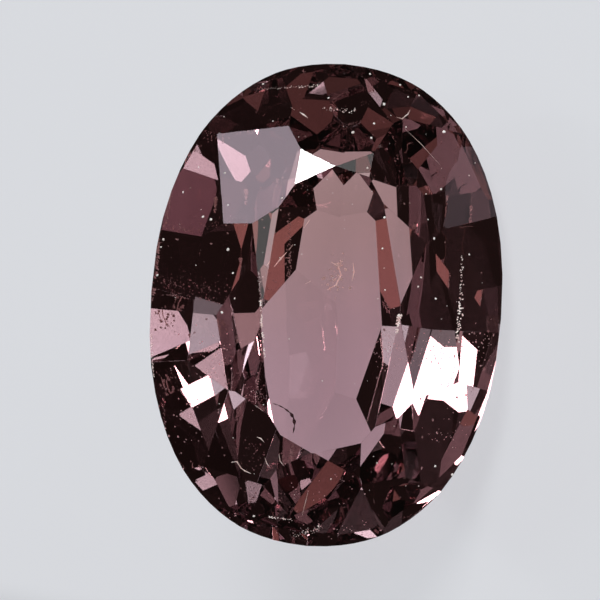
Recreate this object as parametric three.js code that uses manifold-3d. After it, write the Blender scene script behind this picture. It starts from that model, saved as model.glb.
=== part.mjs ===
// A pink sapphire cut as an oval mixed cut: one solid stone, lying on a pavilion facet.
// It is cut in its own frame, with the table facing up and the long axis along Y,
// and is then turned over onto the facet that it rests on.
// Lengths are in millimetres and angles in degrees.
import * as THREE from 'three';
import { mergeVertices } from 'three/addons/utils/BufferGeometryUtils.js';
import Module from 'manifold-3d';

const wasm = await Module();
wasm.setup();

// Girdle outline: a slightly squared oval, seen from above.
const halfLength = 4.02;
const halfWidth = 2.91;
const outlinePower = 2.25;
const girdleFaces = 72;
const girdleThickness = 0.26;

// Heights above the girdle's upper edge.
const tableHeight = 1.25;
const keelBreak = -2.35; // where the pavilion turns from steep to shallow
const deepest = -3.2; // below the lowest point of the cut stone

// The keel's middle, a little off the outline's centre.
const keel = [0.14, -0.1];

// The pavilion main that the stone lies on.
const restAzimuth = 8;
const restSlope = 41;

// Each facet is [azimuth, slope, reach]: the way it faces seen from above, counted from +X towards +Y,
// its slope from level, and how far it stands from the axis at its tier's own height.
const crownMains = [
  [0, 32.5, 1.2],
  [33, 36, 1.6],
  [91, 36, 2.25],
  [149, 35, 1.54],
  [181, 30, 1.03],
  [-145, 36, 1.7],
  [-91, 37, 2.4],
  [-36, 36, 1.88],
];
const crownStars = [
  [14, 21, 1.19],
  [76, 25, 2.18],
  [119, 20.5, 1.98],
  [175, 20, 1.01],
  [-171, 22, 1.07],
  [-116, 25, 2.18],
  [-73, 25, 2.3],
  [-8, 23, 1.2],
];
const crownBreaks = [
  [0, 42, 2.9],
  [13, 41, 2.95],
  [25, 41, 3.1],
  [50, 46, 3.6],
  [75, 45, 3.85],
  [105, 45, 3.85],
  [130, 46, 3.5],
  [158, 41, 3.05],
  [180, 40, 2.87],
  [-155, 41, 3.1],
  [-130, 46, 3.55],
  [-105, 46, 3.87],
  [-75, 46, 3.87],
  [-50, 46, 3.6],
  [-25, 42, 3.15],
];

// The steep facets under the girdle share one slope and touch the oval, each at its own azimuth.
const steepSlope = 58;
const steepAzimuths = [8, 30, 52, 72, 90, 108, 128, 152, 175, -145, -126, -106, -90, -74, -54, -34, -15];
const pavilionMains = [
  [restAzimuth, restSlope, 0.8],
  [30, 41, 1.3],
  [55, 40, 1.8],
  [90, 39, 2.1],
  [125, 40, 1.8],
  [150, 41, 1.3],
  [175, 41, 0.75],
  [-165, 42, 0.8],
  [-138, 40, 1.7],
  [-15, 42, 0.85],
];

// The shallow facets at the keel, which the light passes straight through.
const keelFacets = [
  [8, 23, 0.8],
  [60, 32, 1.8],
  [120, 32, 1.8],
  [175, 23, 0.75],
  [-165, 30, 0.5],
  [-60, 32, 1.5],
  [-15, 23, 0.85],
];

const stoneMaterial = new THREE.MeshStandardMaterial({
  name: 'pink_sapphire',
  color: 0x9b6f7a,
  roughness: 0.05,
  metalness: 0,
  transparent: true,
  opacity: 0.6,
});

const radians = THREE.MathUtils.degToRad;

// How far the oval reaches from its centre in a given direction, measured square to that direction.
function outlineReach(azimuth) {
  const power = outlinePower / (outlinePower - 1);
  const across = Math.abs(halfWidth * Math.cos(radians(azimuth)));
  const along = Math.abs(halfLength * Math.sin(radians(azimuth)));
  return (across ** power + along ** power) ** (1 / power);
}

// The girdle is ground in flat faces that touch the oval, and neighbours meet in a corner.
function girdleShape() {
  const step = 360 / girdleFaces;
  const corners = [];
  for (let i = 0; i < girdleFaces; i += 1) {
    const first = (i + 0.5) * step;
    const second = first + step;
    const a = outlineReach(first);
    const b = outlineReach(second);
    const turn = Math.sin(radians(step));
    const x = (a * Math.sin(radians(second)) - b * Math.sin(radians(first))) / turn;
    const y = (b * Math.cos(radians(first)) - a * Math.cos(radians(second))) / turn;
    corners.push(new THREE.Vector2(x, y));
  }
  return new THREE.Shape(corners);
}

// The rough oval block that the facets are cut from.
function blankGeometry() {
  const depth = tableHeight - deepest;
  const blank = new THREE.ExtrudeGeometry(girdleShape(), { depth, bevelEnabled: false });
  return blank.translate(0, 0, deepest);
}

// The way a facet faces: side is 1 on the crown and -1 on the pavilion.
function facetNormal(azimuth, slope, side) {
  const out = Math.sin(radians(slope));
  const across = out * Math.cos(radians(azimuth));
  const along = out * Math.sin(radians(azimuth));
  return new THREE.Vector3(across, along, side * Math.cos(radians(slope)));
}

// A block that takes away all that stands outside one facet.
function grindingBlock(normal, point) {
  const size = 24;
  const block = new THREE.BoxGeometry(size, size, size).translate(0, 0, size / 2);
  const turn = new THREE.Quaternion().setFromUnitVectors(new THREE.Vector3(0, 0, 1), normal);
  block.applyQuaternion(turn);
  return block.translate(point.x, point.y, point.z);
}

function solid(geometry) {
  const bare = geometry.clone();
  bare.deleteAttribute('normal');
  bare.deleteAttribute('uv');
  const merged = mergeVertices(bare);
  return new wasm.Manifold(new wasm.Mesh({
    numProp: 3,
    vertProperties: new Float32Array(merged.attributes.position.array),
    triVerts: new Uint32Array(merged.index.array),
  }));
}

function geometryOf(body) {
  const mesh = body.getMesh();
  const geometry = new THREE.BufferGeometry();
  geometry.setAttribute('position', new THREE.BufferAttribute(mesh.vertProperties, 3));
  geometry.setIndex(new THREE.BufferAttribute(mesh.triVerts, 1));
  const faceted = geometry.toNonIndexed();
  faceted.computeVertexNormals();
  return faceted;
}

// Grinds one tier of facets, which all stand at their reach from the centre at the same height.
function grindTier(stone, facets, side, height, centre = [0, 0]) {
  let ground = stone;
  for (const [azimuth, slope, reach] of facets) {
    const x = centre[0] + reach * Math.cos(radians(azimuth));
    const y = centre[1] + reach * Math.sin(radians(azimuth));
    const block = grindingBlock(facetNormal(azimuth, slope, side), new THREE.Vector3(x, y, height));
    ground = ground.subtract(solid(block));
  }
  return ground;
}

function cutStone() {
  const steepFacets = steepAzimuths.map((azimuth) => [azimuth, steepSlope, outlineReach(azimuth)]);
  let stone = solid(blankGeometry());
  stone = grindTier(stone, crownMains, 1, tableHeight);
  stone = grindTier(stone, crownStars, 1, tableHeight);
  stone = grindTier(stone, crownBreaks, 1, 0);
  stone = grindTier(stone, steepFacets, -1, -girdleThickness);
  stone = grindTier(stone, pavilionMains, -1, keelBreak, keel);
  stone = grindTier(stone, keelFacets, -1, keelBreak, keel);
  return geometryOf(stone);
}

// Turns the stone so that the rest facet faces down and the long axis runs along X.
function layDown(geometry) {
  const up = facetNormal(restAzimuth, restSlope, -1).negate();
  const along = new THREE.Vector3(0, 1, 0).projectOnPlane(up).normalize();
  const across = new THREE.Vector3().crossVectors(up, along);
  const turn = new THREE.Matrix4().makeBasis(along, across, up).invert();
  geometry.applyMatrix4(turn);
  geometry.computeBoundingBox();
  const box = geometry.boundingBox;
  const centre = box.getCenter(new THREE.Vector3());
  return geometry.translate(-centre.x, -centre.y, -box.min.z);
}

const part = new THREE.Group();
const stone = new THREE.Mesh(layDown(cutStone()), stoneMaterial);
stone.name = 'cut_sapphire';
part.add(stone);

export default part;
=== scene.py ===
import math
import random

import bmesh
import bpy
from mathutils import Matrix, Vector
from mathutils.bvhtree import BVHTree


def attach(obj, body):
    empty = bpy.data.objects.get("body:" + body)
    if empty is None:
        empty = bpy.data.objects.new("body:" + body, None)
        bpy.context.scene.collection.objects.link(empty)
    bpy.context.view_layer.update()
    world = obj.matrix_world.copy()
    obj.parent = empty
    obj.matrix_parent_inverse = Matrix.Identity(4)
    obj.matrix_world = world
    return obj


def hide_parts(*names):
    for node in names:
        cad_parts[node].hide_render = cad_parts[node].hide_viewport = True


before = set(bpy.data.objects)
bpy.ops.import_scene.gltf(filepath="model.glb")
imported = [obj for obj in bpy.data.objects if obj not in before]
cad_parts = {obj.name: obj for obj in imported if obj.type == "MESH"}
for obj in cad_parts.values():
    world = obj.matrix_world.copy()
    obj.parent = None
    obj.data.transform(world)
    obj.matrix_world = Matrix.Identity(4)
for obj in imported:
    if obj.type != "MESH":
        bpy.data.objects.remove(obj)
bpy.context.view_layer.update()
print("frame loaded")

mm = 0.001  # all sizes below are millimetres, turned to metres where they are used

# how the stone was cut and how it lies, as in the part's own source, and its finish
stone = {
    "tableHeight": 1.25,  # above the girdle's upper edge
    "restAzimuth": 8.0,  # the facet that it lies on, seen from above the table
    "restSlope": 41.0,
    "weld": 0.0005,  # corners closer than this are one
    "flatWithin": 0.2,  # degrees, up to which neighbouring triangles are one facet
    "bevel": 0.012,  # the thin polished edge between facets
    "ior": 1.765,
    "absorb": (125.0, 165.0, 160.0),  # red, green and blue light lost per metre
    "density": 300.0,  # of the absorbing volume, above all three of them
    "warmTint": (1.0, 0.70, 0.67),
    "coolTint": (1.0, 0.72, 0.79),
    "zoneStart": -1.5,  # where the cool zone gives way to the warm one, along the stone
    "zoneEnd": 1.8,
    "zoneDrift": 1.5,  # how far the border between them wanders
    "zoneScale": 300.0,
    "zoneDetail": 2.0,
}
photo = {
    "side": 600.0,  # pixels
    "stoneMiddle": (326.0, 305.0),  # the pixel of the girdle's middle
    "pixelsPerMm": 60.1,
    "lean": 4.5,  # degrees, the long axis leans to the right at the top
    "distance": 42.0,
    "sensor": 36.0,
    "nearest": 5.0,  # the camera sees nothing nearer than this or beyond farthest
    "farthest": 1000.0,
}


def direction(offAxis, azimuth):
    # offAxis is counted from the table's own facing, azimuth from the stone's +X towards its +Y
    off, around = math.radians(offAxis), math.radians(azimuth)
    return Vector((math.sin(off) * math.cos(around), math.sin(off) * math.sin(around), math.cos(off)))


def stoneTurn():
    # the turn from the stone's own axes, table up and long axis along Y, to how it lies
    down = direction(180.0 - stone["restSlope"], stone["restAzimuth"])
    up = -down
    along = Vector((0, 1, 0))
    along = (along - up * along.dot(up)).normalized()
    across = up.cross(along)
    return Matrix((along, across, up))


def girdleMiddle(turn):
    # the outline is even about this point, and the table stands above it
    points = [turn.transposed() @ v.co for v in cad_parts["cut_sapphire"].data.vertices]
    low = [min(p[i] for p in points) for i in range(3)]
    high = [max(p[i] for p in points) for i in range(3)]
    level = high[2] - stone["tableHeight"] * mm
    return turn @ Vector(((low[0] + high[0]) / 2, (low[1] + high[1]) / 2, level))


turn = stoneTurn()
middle = girdleMiddle(turn)


def place(x, y, z):
    # from the stone's own axes in mm to the frame in metres
    return middle + turn @ (Vector((x, y, z)) * mm)


def newMaterial(name):
    material = bpy.data.materials.new(name)
    material.use_nodes = True
    return material, material.node_tree, material.node_tree.nodes["Principled BSDF"]


def addMesh(name, bm):
    mesh = bpy.data.meshes.new(name)
    bm.to_mesh(mesh)
    bm.free()
    made = bpy.data.objects.new(name, mesh)
    bpy.context.scene.collection.objects.link(made)
    return made


def addMath(tree, operation, first, second=None):
    node = tree.nodes.new("ShaderNodeMath")
    node.operation = operation
    for socket, value in zip(node.inputs, (first, second)):
        if value is None:
            continue
        if isinstance(value, float):
            socket.default_value = value
        else:
            tree.links.new(value, socket)
    return node.outputs["Value"]


def addRamp(tree, value, start, end, startValue, endValue):
    node = tree.nodes.new("ShaderNodeMapRange")
    node.interpolation_type = "SMOOTHSTEP"
    node.inputs["From Min"].default_value = start
    node.inputs["From Max"].default_value = end
    node.inputs["To Min"].default_value = startValue
    node.inputs["To Max"].default_value = endValue
    tree.links.new(value, node.inputs["Value"])
    return node.outputs["Result"]


# the room: a pale floor that glows where the stone lies, and a dark surround
room = {
    "floorSize": 600.0,
    "floorDrop": 0.01,  # how far under the stone, so that the two faces never meet
    "floorColour": (0.22, 0.222, 0.228),
    "floorRoughness": 0.9,
    "floorShine": 0.1,
    "glow": 0.60,
    "glowColour": (0.941, 0.951, 1.0),
    "padMiddle": (-0.2, 3.1),  # the glowing part, along the stone and across it
    "padHalf": (6.0, 7.5),
    "padFade": 2.4,  # how far outside it the glow dies away
    "surround": 0.025,
    "surroundColour": (1.0, 0.72, 0.66),
}


def floorMaterial():
    material, tree, shader = newMaterial("paleFloor")
    nodes, links = tree.nodes, tree.links
    shader.inputs["Base Color"].default_value = (*room["floorColour"], 1)
    shader.inputs["Roughness"].default_value = room["floorRoughness"]
    shader.inputs["Specular IOR Level"].default_value = room["floorShine"]
    where = nodes.new("ShaderNodeTexCoord")
    parts = nodes.new("ShaderNodeSeparateXYZ")
    links.new(where.outputs["Object"], parts.inputs["Vector"])
    glow = room["glow"]
    for axis, centre, half in zip("XY", room["padMiddle"], room["padHalf"]):
        off = addMath(tree, "SUBTRACT", parts.outputs[axis], centre * mm)
        off = addMath(tree, "ABSOLUTE", off)
        fade = addRamp(tree, off, half * mm, (half + room["padFade"]) * mm, 1.0, 0.0)
        glow = addMath(tree, "MULTIPLY", fade, glow)
    links.new(glow, shader.inputs["Emission Strength"])
    shader.inputs["Emission Color"].default_value = (*room["glowColour"], 1)
    return material


def makeFloor():
    bm = bmesh.new()
    bmesh.ops.create_grid(bm, x_segments=1, y_segments=1, size=room["floorSize"] * mm / 2)
    bmesh.ops.translate(bm, verts=bm.verts, vec=(0, 0, -room["floorDrop"] * mm))
    floor = addMesh("floor", bm)
    floor.data.materials.append(floorMaterial())
    floor.visible_glossy = False  # no facet mirrors it


def makeSurround():
    world = bpy.data.worlds.new("surround")
    world.use_nodes = True
    background = world.node_tree.nodes["Background"]
    background.inputs["Color"].default_value = (*room["surroundColour"], 1)
    background.inputs["Strength"].default_value = room["surround"]
    bpy.context.scene.world = world


# every lamp is a round softbox
lamps = {
    "distance": 220.0,
    "factor": 2.6,  # watts for each square metre at a brightness of one
    "leastRise": 0.05,  # a mirrored lamp with less rise than this stands close, just above the floor
    "closeShare": 0.9,
    "sameFacing": 0.9999,  # the cosine from which a face is part of a facet
}
lampColours = {
    "white": (1.0, 1.0, 1.0),
    "cool": (0.68, 0.96, 1.0),
    "brown": (1.0, 0.62, 0.55),
    "lilac": (1.0, 0.82, 0.95),
}
# these light the stone from within: degrees off the table's axis, azimuth, half angle, brightness, colour
softboxes = {
    "key": (43, 118, 12, 13, "white"),
    "leftEdge": (87, 180, 8, 5.5, "cool"),
    "leftLow": (36, 167, 7, 2.4, "cool"),
    "leftFar": (101, 152, 7, 4.5, "cool"),
    "leftInner": (37, 63, 7, 6, "cool"),
    "overhead": (17, 43, 6, 1, "white"),
    "near": (23, 85, 7, 2.5, "cool"),
    "right": (27, 135, 9, 0.8, "cool"),
    "lowFlash": (101, 169, 3, 45, "white"),
    "lowSliver": (67, 88, 3, 25, "white"),
    "lowGlow": (52, 53, 6, 0.5, "brown"),
    "topGlow": (54, -123, 7, 0.25, "brown"),
    "topFill": (58, -89, 8, 0.15, "brown"),
    "tableStrip": (21, -103, 7, 0.8, "brown"),
    "rightGlow": (66, -76, 8, 0.3, "brown"),
    "leftGlow": (96, -160, 8, 0.7, "lilac"),
}
# these are mirrored by one crown facet each: the facet's slope, azimuth, half angle, brightness, colour
mirrorBoxes = {
    "leftKite": (35, 149, 5, 3.8, "lilac"),
    "starFlash": (20.5, 119, 5, 30, "white"),
    "starRight": (25, 76, 5, 1.3, "white"),
    "starLeft": (20, 175, 5, 1.1, "white"),
    "rightBreak": (41, 25, 30, 0.45, "lilac"),
}


def addLamp(name, aim, back, distance, halfAngle, brightness, colour):
    lamp = bpy.data.lights.new(name, "AREA")
    lamp.color = lampColours[colour]
    lamp.shape = "DISK"
    lamp.size = 2 * distance * mm * math.tan(math.radians(halfAngle))
    lamp.energy = brightness * lamps["factor"] * math.pi * lamp.size ** 2 / 4
    made = bpy.data.objects.new(name, lamp)
    bpy.context.scene.collection.objects.link(made)
    made.location = aim + back * distance * mm
    made.rotation_mode = "QUATERNION"
    made.rotation_quaternion = back.to_track_quat("Z", "Y")
    made.visible_camera = False
    return made


def facetMiddle(facing):
    total, weighed = 0.0, Vector()
    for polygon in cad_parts["cut_sapphire"].data.polygons:
        if polygon.normal.dot(facing) > lamps["sameFacing"]:
            total += polygon.area
            weighed += polygon.center * polygon.area
    return weighed / total


def makeLights():
    for name, (off, azimuth, *shine) in softboxes.items():
        lamp = addLamp(name, middle, turn @ direction(off, azimuth), lamps["distance"], *shine)
        lamp.visible_glossy = False
    eye = place(0, 0, photo["distance"])
    for name, (slope, azimuth, *shine) in mirrorBoxes.items():
        facing = turn @ direction(slope, azimuth)
        aim = facetMiddle(facing)
        look = (aim - eye).normalized()
        back = look - facing * 2 * look.dot(facing)
        distance = lamps["distance"]
        if back.z < lamps["leastRise"]:
            distance = lamps["closeShare"] * aim.z / mm / (lamps["leastRise"] - back.z)
        lamp = addLamp(name, aim, back, distance, *shine)
        lamp.visible_transmission = False
        lamp.visible_diffuse = False


def makeCamera():
    camera = bpy.data.cameras.new("camera")
    camera.sensor_width = photo["sensor"]
    across = photo["side"] / photo["pixelsPerMm"]
    camera.lens = camera.sensor_width * photo["distance"] / across
    camera.clip_start = photo["nearest"] * mm
    camera.clip_end = photo["farthest"] * mm
    made = bpy.data.objects.new("camera", camera)
    bpy.context.scene.collection.objects.link(made)
    # it stands straight above the table and is aimed so that the stone isn't quite in the middle
    lean = math.radians(photo["lean"])
    right = Vector((math.cos(lean), math.sin(lean), 0))
    up = Vector((-math.sin(lean), math.cos(lean), 0))
    half = photo["side"] / 2
    offX = (half - photo["stoneMiddle"][0]) / photo["pixelsPerMm"]
    offY = (photo["stoneMiddle"][1] - half) / photo["pixelsPerMm"]
    aim = right * offX + up * offY
    back = (Vector((0, 0, photo["distance"])) - aim).normalized()
    right = up.cross(back).normalized()
    up = back.cross(right)
    axes = Matrix((turn @ right, turn @ up, turn @ back)).transposed()
    made.matrix_world = Matrix.Translation(place(0, 0, photo["distance"])) @ axes.to_4x4()
    bpy.context.scene.camera = made


# how many facets light may meet on its way before it is given up
bounces = {
    "max_bounces": 32,
    "glossy_bounces": 24,
    "transmission_bounces": 24,
    "transparent_max_bounces": 16,
}


def setRender():
    scene = bpy.context.scene
    scene.view_settings.view_transform = "Standard"
    for name, count in bounces.items():
        setattr(scene.cycles, name, count)


def sapphireMaterial():
    # clear corundum: a little browner towards one end and a little cooler towards the other
    material, tree, shader = newMaterial("pinkSapphire")
    nodes, links = tree.nodes, tree.links
    where = nodes.new("ShaderNodeTexCoord")
    parts = nodes.new("ShaderNodeSeparateXYZ")
    links.new(where.outputs["Object"], parts.inputs["Vector"])
    noise = nodes.new("ShaderNodeTexNoise")
    noise.inputs["Scale"].default_value = stone["zoneScale"]
    noise.inputs["Detail"].default_value = stone["zoneDetail"]
    links.new(where.outputs["Object"], noise.inputs["Vector"])
    drift = addMath(tree, "SUBTRACT", noise.outputs["Fac"], 0.5)
    drift = addMath(tree, "MULTIPLY", drift, stone["zoneDrift"] * mm)
    along = addMath(tree, "ADD", parts.outputs["X"], drift)
    zone = addRamp(tree, along, stone["zoneStart"] * mm, stone["zoneEnd"] * mm, 0.0, 1.0)
    mix = nodes.new("ShaderNodeMix")
    mix.data_type = "RGBA"
    links.new(zone, mix.inputs["Factor"])
    mix.inputs["A"].default_value = (*stone["coolTint"], 1)
    mix.inputs["B"].default_value = (*stone["warmTint"], 1)
    links.new(mix.outputs["Result"], shader.inputs["Base Color"])
    shader.inputs["Roughness"].default_value = 0.0
    shader.inputs["IOR"].default_value = stone["ior"]
    shader.inputs["Transmission Weight"].default_value = 1.0
    volume = nodes.new("ShaderNodeVolumeAbsorption")
    volume.inputs["Density"].default_value = stone["density"]
    kept = [1 - lost / stone["density"] for lost in stone["absorb"]]
    volume.inputs["Color"].default_value = (*kept, 1)
    links.new(volume.outputs["Volume"], nodes["Material Output"].inputs["Volume"])
    return material


def makeStone():
    bm = bmesh.new()
    bm.from_mesh(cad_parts["cut_sapphire"].data)
    bmesh.ops.remove_doubles(bm, verts=bm.verts, dist=stone["weld"] * mm)
    bmesh.ops.dissolve_limit(
        bm, angle_limit=math.radians(stone["flatWithin"]), verts=bm.verts, edges=bm.edges)
    bmesh.ops.bevel(
        bm, geom=bm.edges, offset=stone["bevel"] * mm, offset_type="OFFSET", affect="EDGES",
        segments=1, profile=0.5, material=-1, clamp_overlap=True)
    made = addMesh("sapphire", bm)
    made.data.materials.append(sapphireMaterial())
    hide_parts("cut_sapphire")
    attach(made, "root")
    return made


class Sight:
    # finds the points of the stone that are seen at a given pixel of the picture
    def __init__(self, made):
        bm = bmesh.new()
        bm.from_mesh(made.data)
        self.tree = BVHTree.FromBMesh(bm)
        bm.free()
        self.eye = place(0, 0, photo["distance"])

    def look(self, pixelX, pixelY):
        lean = math.radians(photo["lean"])
        right = (pixelX - photo["stoneMiddle"][0]) / photo["pixelsPerMm"]
        up = (photo["stoneMiddle"][1] - pixelY) / photo["pixelsPerMm"]
        x = right * math.cos(lean) - up * math.sin(lean)
        y = right * math.sin(lean) + up * math.cos(lean)
        ray = (place(x, y, 0) - self.eye).normalized()
        hit, normal = self.tree.ray_cast(self.eye, ray)[:2]
        return ray, hit, normal

    def on(self, pixelX, pixelY):
        # the point on the stone, or None beside it
        return self.look(pixelX, pixelY)[1]

    def under(self, pixelX, pixelY, depth):
        # the point that the bent ray reaches at this depth inside the stone, or None beside it
        ray, hit, normal = self.look(pixelX, pixelY)
        if hit is None:
            return None
        ratio = 1 / stone["ior"]
        facing = -ray.dot(normal)
        bend = ratio * facing - math.sqrt(1 - ratio ** 2 * (1 - facing ** 2))
        return hit + (ray * ratio + normal * bend) * depth * mm


# fine threads: how many sides they have, and how thick their two ends are against the rest
thread = {
    "sides": 5,
    "endShare": 0.25,
}


def addTube(bm, points, radius):
    rings = []
    last = len(points) - 1
    for i, point in enumerate(points):
        along = (points[min(i + 1, last)] - points[max(i - 1, 0)]).normalized()
        side = along.orthogonal().normalized()
        other = along.cross(side)
        reach = radius * mm * (thread["endShare"] if i in (0, last) else 1.0)
        ring = []
        for k in range(thread["sides"]):
            angle = 2 * math.pi * k / thread["sides"]
            ring.append(bm.verts.new(point + (side * math.cos(angle) + other * math.sin(angle)) * reach))
        rings.append(ring)
    for first, second in zip(rings, rings[1:]):
        for k in range(thread["sides"]):
            n = (k + 1) % thread["sides"]
            bm.faces.new((first[k], first[n], second[n], second[k]))
    bm.faces.new(rings[0][::-1])
    bm.faces.new(rings[-1])


# rough little crumbs: how narrow they may be against their full size, and how uneven their corners are
crumb = {
    "narrowest": 0.55,
    "uneven": (0.8, 1.15),
}


def addGrain(bm, centre, size, dice):
    stretch = [size * mm * dice.uniform(crumb["narrowest"], 1.0) for i in range(3)]
    spin = Matrix.Rotation(dice.uniform(0, math.pi), 4, Vector((dice.gauss(0, 1), dice.gauss(0, 1), 1)))
    made = bmesh.ops.create_icosphere(
        bm, subdivisions=1, radius=1.0,
        matrix=Matrix.Translation(centre) @ spin @ Matrix.Diagonal(stretch + [1]))
    for vert in made["verts"]:
        vert.co = centre + (vert.co - centre) * dice.uniform(*crumb["uneven"])


# the finish that dust, wear and inclusions share: fine blotches, from a dark colour to a light one; the
# same colour also tints their painted glow
blotch = {
    "scale": 9000.0,
    "detail": 3.0,
    "darkBelow": 0.35,  # of the noise, which runs from 0 to 1
    "lightAbove": 0.65,
    "roughness": 0.45,
}


def makeBlotches():
    group = bpy.data.node_groups.new("blotches", "ShaderNodeTree")
    for name in ("Dark", "Light"):
        group.interface.new_socket(name=name, in_out="INPUT", socket_type="NodeSocketColor")
    group.interface.new_socket(name="Colour", in_out="OUTPUT", socket_type="NodeSocketColor")
    nodes, links = group.nodes, group.links
    given = nodes.new("NodeGroupInput")
    result = nodes.new("NodeGroupOutput")
    where = nodes.new("ShaderNodeTexCoord")
    noise = nodes.new("ShaderNodeTexNoise")
    noise.inputs["Scale"].default_value = blotch["scale"]
    noise.inputs["Detail"].default_value = blotch["detail"]
    links.new(where.outputs["Object"], noise.inputs["Vector"])
    light = addRamp(group, noise.outputs["Fac"], blotch["darkBelow"], blotch["lightAbove"], 0.0, 1.0)
    mix = nodes.new("ShaderNodeMix")
    mix.data_type = "RGBA"
    links.new(light, mix.inputs["Factor"])
    links.new(given.outputs["Dark"], mix.inputs["A"])
    links.new(given.outputs["Light"], mix.inputs["B"])
    links.new(mix.outputs["Result"], result.inputs["Colour"])
    return group


blotches = makeBlotches()


def crumbMaterial(name, finish):
    # the light, the dark and the glow come from the piece's own dictionary; the glow is painted light, an
    # emission that makes the piece shine though it is no lamp
    material, tree, shader = newMaterial(name)
    pattern = tree.nodes.new("ShaderNodeGroup")
    pattern.node_tree = blotches
    pattern.inputs["Dark"].default_value = (*finish["dark"], 1)
    pattern.inputs["Light"].default_value = (*finish["light"], 1)
    tree.links.new(pattern.outputs["Colour"], shader.inputs["Base Color"])
    # painted glow: the emission takes the blotches' colour, at the piece's glow strength
    tree.links.new(pattern.outputs["Colour"], shader.inputs["Emission Color"])
    shader.inputs["Emission Strength"].default_value = finish["glow"]
    shader.inputs["Roughness"].default_value = blotch["roughness"]
    return material


def finishPiece(name, bm, material):
    bmesh.ops.recalc_face_normals(bm, faces=bm.faces)
    made = addMesh(name, bm)
    made.data.materials.append(material)
    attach(made, "root")


# specks of dust that lie on the facets and shine with a painted glow: where each is seen and its radius,
# all in pixels
dust = {
    "spots": [
        (353, 132.4, 2.0), (371.4, 138, 1.7), (384, 104.4, 1.7), (443.6, 132, 2.1), (408, 97, 1.3),
        (419, 95.6, 1.4), (374, 123.6, 1.3), (406, 127, 1.3), (441, 189.4, 1.8), (426, 194, 1.1),
        (384.4, 217.4, 1.6), (382.4, 248.4, 1.3), (434, 238.6, 1.7), (469, 254.4, 1.3), (421, 277.4, 1.5),
        (435.6, 298.6, 1.5), (418, 286.6, 1.2), (328.6, 98, 1.2), (367.4, 168, 1.3), (385, 290, 1.1),
        (428, 219.6, 1.0), (469, 175.6, 0.9), (475, 163, 0.8), (228, 249.4, 2.3), (233, 273, 1.5),
        (234.6, 298.4, 1.2), (222, 312.5, 1.7), (163.4, 239.4, 1.6), (161, 247, 1.2), (157.4, 275, 1.6),
        (203, 216.6, 1.7), (211, 219.4, 1.7), (225, 173, 1.4), (183, 192, 1.4), (282, 198, 1.7),
        (224, 116.6, 1.1), (228, 205, 1.1), (263, 84, 1.4), (400, 85, 1.6), (370, 74, 1.3),
        (435, 466, 1.4), (452, 474.5, 1.8), (254, 516, 2.0), (331, 479, 1.0), (377, 463, 1.2),
    ],
    "loose": 70,  # more of them, very fine, strewn over an oval on the stone
    "looseHalf": (170, 236),  # half of the oval's width and length
    "looseShare": 0.93,  # the share of the oval that they keep to, counted from its middle
    "looseSize": (0.35, 0.8),
    "pixel": 1 / photo["pixelsPerMm"],
    "light": (0.9, 0.88, 0.85),
    "dark": (0.62, 0.56, 0.52),
    # painted glow: the specks shine a little though they are no lamp
    "glow": 0.45,
    "seed": 11,
}


def makeDust(sight):
    dice = random.Random(dust["seed"])
    bm = bmesh.new()
    for x, y, size in dust["spots"]:
        addGrain(bm, sight.on(x, y), size * dust["pixel"], dice)
    for i in range(dust["loose"]):
        angle = dice.uniform(0, 2 * math.pi)
        out = math.sqrt(dice.uniform(0, dust["looseShare"]))
        x = photo["stoneMiddle"][0] + dust["looseHalf"][0] * out * math.cos(angle)
        y = photo["stoneMiddle"][1] + dust["looseHalf"][1] * out * math.sin(angle)
        addGrain(bm, sight.on(x, y), dice.uniform(*dust["looseSize"]) * dust["pixel"], dice)
    finishPiece("dustSpecks", bm, crumbMaterial("dust", dust))


# fine scratches on the facets, which shine with a painted glow: the points that each runs through in
# pixels, and its radius in mm
scratches = {
    "lines": [
        ([(231, 462.4), (237, 461.6), (241, 468), (245, 471), (251, 473.6)], 0.012),
        ([(300, 112.4), (304, 115), (308, 118)], 0.016),
        ([(291, 107.6), (294.6, 110)], 0.012),
        ([(308, 492), (305, 504), (302, 516)], 0.006),
        ([(255, 405), (263, 411)], 0.010),
        ([(257, 437), (261, 438.6), (264, 442)], 0.012),
        ([(265, 458), (266.6, 463), (269.4, 467)], 0.010),
        ([(279, 454), (280, 461), (284, 466)], 0.010),
        ([(405, 129), (421, 144), (440, 165)], 0.004),
        ([(396, 117), (402, 119), (408, 114), (410, 110)], 0.010),
    ],
    "light": (0.85, 0.74, 0.70),
    "dark": (0.6, 0.42, 0.38),
    # painted glow: the scratches shine a little though they are no lamp
    "glow": 0.22,
}


def makeScratches(sight):
    bm = bmesh.new()
    for line, radius in scratches["lines"]:
        addTube(bm, [sight.on(x, y) for x, y in line], radius)
    finishPiece("scratches", bm, crumbMaterial("scratch", scratches))


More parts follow.
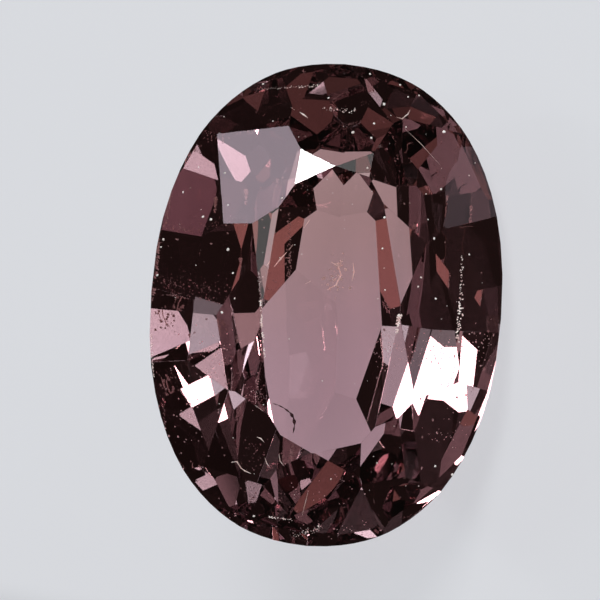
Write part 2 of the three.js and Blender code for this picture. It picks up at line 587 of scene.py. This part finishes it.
# facet edges that are worn white, their crumbs also lit by a painted glow: the points that each runs
# through in pixels, the crumbs' size in mm, how far they stray in pixels, and how many they are
wornEdges = {
    "lines": [
        ([(260.6, 300), (261.4, 322), (263, 340), (265, 360)], (0.016, 0.030), 0.5, 60),
        ([(399.6, 313), (398.6, 322), (396.4, 333)], (0.018, 0.034), 0.9, 40),
        ([(461.5, 257), (461.5, 270), (461, 285), (460.4, 300)], (0.008, 0.022), 0.8, 50),
        ([(460.4, 300), (459, 322), (457.6, 345)], (0.012, 0.034), 1.2, 60),
        ([(258.6, 272), (259.6, 288), (260.6, 300)], (0.006, 0.014), 0.5, 24),
        ([(151.6, 334), (151.4, 350), (152.6, 366), (154, 378)], (0.010, 0.020), 0.3, 60),
        ([(323, 107.6), (330, 109), (338, 109.4), (347, 110.4), (355, 111)], (0.006, 0.020), 1.2, 44),
        ([(262, 89), (284, 87.7), (299, 87)], (0.006, 0.012), 0.5, 40),
        ([(299, 87), (308, 86.2), (319, 85.6)], (0.010, 0.020), 0.7, 26),
        ([(269, 517), (280, 518.6), (291, 520)], (0.010, 0.022), 0.6, 30),
        ([(291, 538), (307, 532), (321, 527)], (0.008, 0.022), 1.4, 40),
    ],
    "sizeFactor": 0.65,  # makes all of the crumbs finer or coarser
    "lastPoint": 1.001,  # taken off the number of points, so that every crumb has a next point
    "light": (0.95, 0.86, 0.82),
    "dark": (0.7, 0.5, 0.48),
    # painted glow: the worn crumbs shine a little though they are no lamp
    "glow": 0.35,
    "seed": 31,
}


def makeWornEdges(sight):
    dice = random.Random(wornEdges["seed"])
    bm = bmesh.new()
    for line, sizes, stray, count in wornEdges["lines"]:
        for i in range(count):
            along = dice.uniform(0, len(line) - wornEdges["lastPoint"])
            (startX, startY), (endX, endY) = line[int(along)], line[int(along) + 1]
            part = along - int(along)
            x = startX + (endX - startX) * part + dice.gauss(0, stray)
            y = startY + (endY - startY) * part + dice.gauss(0, stray)
            spot = sight.on(x, y)
            if spot is not None:
                addGrain(bm, spot, dice.uniform(*sizes) * wornEdges["sizeFactor"], dice)
    finishPiece("wornEdges", bm, crumbMaterial("wornEdge", wornEdges))


# needles and threads inside the stone, seen through the table, which shine with a painted glow in place of
# light reaching them inside the glass: points in pixels, depth and radius in mm
needles = {
    "lines": [
        ([(274, 267), (280, 259.6), (287, 252)], 0.8, 0.012),
        ([(288.6, 250), (293, 244.6)], 0.8, 0.010),
        ([(304, 228), (309.5, 220)], 0.8, 0.014),
        ([(305, 284), (311, 281)], 0.9, 0.012),
        ([(353, 263), (354, 272), (352, 281)], 0.9, 0.012),
        ([(331, 262), (338, 266), (341, 275), (336, 285), (327, 290)], 0.9, 0.012),
    ],
    "light": (0.93, 0.76, 0.70),
    "dark": (0.8, 0.58, 0.54),
    # painted glow: the needles shine though they are no lamp
    "glow": 0.55,
}


def makeNeedles(sight):
    bm = bmesh.new()
    for line, depth, radius in needles["lines"]:
        addTube(bm, [sight.under(x, y, depth) for x, y in line], radius)
    finishPiece("needles", bm, crumbMaterial("needle", needles))


# the cloud of pale crumbs under the middle of the table, which shine with a painted glow
cloud = {
    "middle": (334, 276),  # pixels
    "spread": (6.5, 11.0),  # pixels
    "depth": (0.7, 1.1),
    "count": 46,
    "size": (0.012, 0.042),
    "light": (0.80, 0.66, 0.63),
    "dark": (0.66, 0.48, 0.46),
    # painted glow: the crumbs shine though they are no lamp
    "glow": 0.35,
    "seed": 4,
}


def makeCloud(sight):
    dice = random.Random(cloud["seed"])
    bm = bmesh.new()
    for i in range(cloud["count"]):
        x = cloud["middle"][0] + dice.gauss(0, cloud["spread"][0])
        y = cloud["middle"][1] + dice.gauss(0, cloud["spread"][1])
        depth, size = dice.uniform(*cloud["depth"]), dice.uniform(*cloud["size"])
        addGrain(bm, sight.under(x, y, depth), size, dice)
    finishPiece("cloud", bm, crumbMaterial("cloudCrumb", cloud))


# the dark curved feather low on the left of the table: points in pixels, a radius for each, and its depth
feather = {
    "line": [(272.6, 403.4), (278, 405), (284, 408), (290, 412.6), (293.6, 418), (294.6, 425), (293, 433)],
    "radii": [0.004, 0.012, 0.013, 0.020, 0.042, 0.026, 0.006],
    "depth": 0.5,
    "light": (0.08, 0.03, 0.03),
    "dark": (0.02, 0.01, 0.01),
    "glow": 0.0,
}


def makeFeather(sight):
    bm = bmesh.new()
    points = [sight.under(x, y, feather["depth"]) for x, y in feather["line"]]
    for i in range(len(points) - 1):
        radius = (feather["radii"][i] + feather["radii"][i + 1]) / 2
        addTube(bm, [points[i], points[i].lerp(points[i + 1], 0.5), points[i + 1]], radius)
    finishPiece("feather", bm, crumbMaterial("featherCrack", feather))


# pale grains just under the facets, bright partly by their own colour and partly by a painted glow: middle
# and spread in pixels, count, size in mm
grains = {
    "patches": [
        ((212, 358), (13, 14), 60, (0.006, 0.020)),
        ((186, 418), (10, 18), 34, (0.008, 0.026)),
        ((252, 388), (5, 10), 20, (0.006, 0.018)),
        ((430, 352), (24, 9), 110, (0.006, 0.020)),
        ((480, 345), (9, 10), 40, (0.006, 0.020)),
        ((385, 345), (8, 20), 34, (0.005, 0.014)),
        ((452, 385), (6, 18), 36, (0.006, 0.018)),
        ((440, 432), (16, 8), 24, (0.006, 0.016)),
        ((320, 495), (22, 12), 30, (0.006, 0.016)),
        ((330, 528), (30, 5), 34, (0.008, 0.022)),
        ((225, 520), (14, 7), 22, (0.008, 0.020)),
    ],
    "depth": (0.02, 0.12),
    "light": (0.95, 0.76, 0.74),
    "dark": (0.7, 0.4, 0.42),
    # painted glow: the grains shine a little though they are no lamp
    "glow": 0.3,
    "seed": 23,
}


def makeGrains(sight):
    dice = random.Random(grains["seed"])
    bm = bmesh.new()
    for (x, y), (spreadX, spreadY), count, sizes in grains["patches"]:
        for i in range(count):
            seenX, seenY = dice.gauss(x, spreadX), dice.gauss(y, spreadY)
            size, depth = dice.uniform(*sizes), dice.uniform(*grains["depth"])
            spot = sight.under(seenX, seenY, depth)
            if spot is not None:
                addGrain(bm, spot, size, dice)
    finishPiece("grains", bm, crumbMaterial("paleGrain", grains))


makeFloor()
makeSurround()
makeLights()
makeCamera()
setRender()
print("room ready")
sapphire = makeStone()
sight = Sight(sapphire)
print("stone ready")
for makePiece in (makeDust, makeScratches, makeWornEdges, makeNeedles, makeCloud, makeFeather, makeGrains):
    makePiece(sight)
print("wear and inclusions ready")
